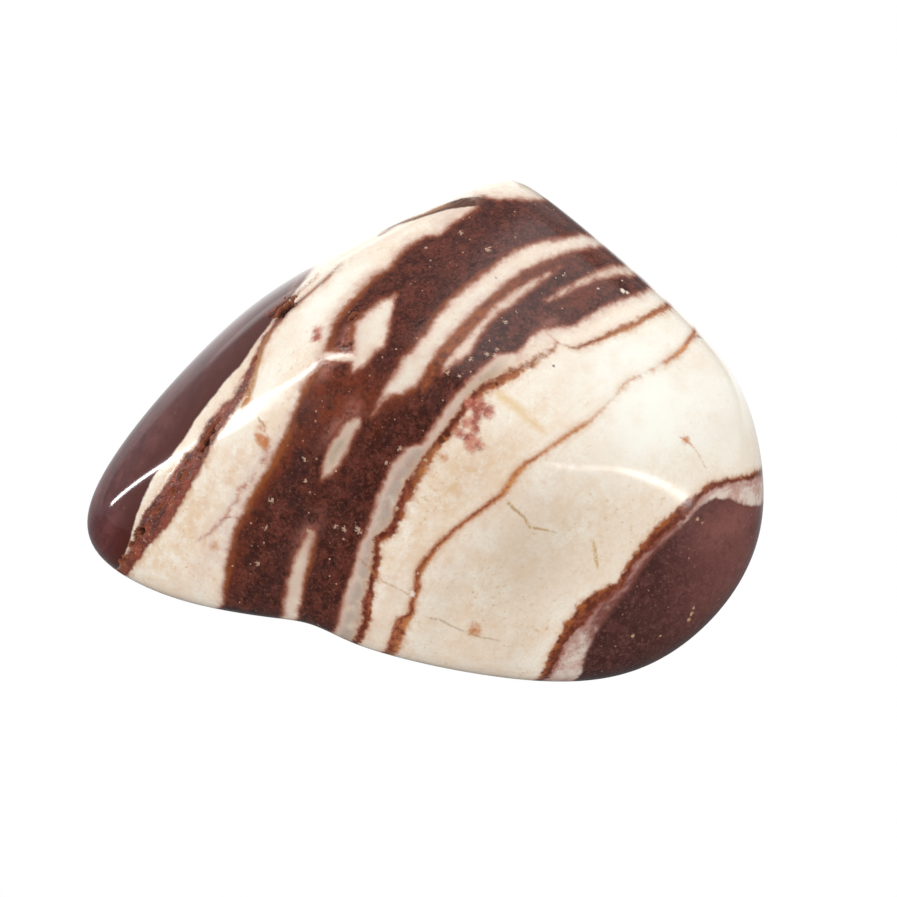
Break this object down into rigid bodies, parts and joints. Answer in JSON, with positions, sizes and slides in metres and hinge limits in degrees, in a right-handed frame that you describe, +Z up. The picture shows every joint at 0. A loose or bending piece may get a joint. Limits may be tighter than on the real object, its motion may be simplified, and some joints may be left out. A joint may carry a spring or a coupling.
{
  "type": "tumbled zebra jasper",
  "caption": "Polished tumbled stone with a narrow nose at one end, cream with maroon bands, small open pits and a flat side to rest on.",
  "frame": {"origin": "middle of the box, on the surface that the stone rests on", "axes": "+Z up, +X along the longest way of the stone from its narrow nose to its round end, +Y from its front to its back"},
  "size_m": [0.0378, 0.026, 0.0235],
  "materials": {
    "jasper": "tumble polished"
  },
  "bodies": {
    "root": {"jasper_stone": "jasper"}
  },
  "joints": []
}
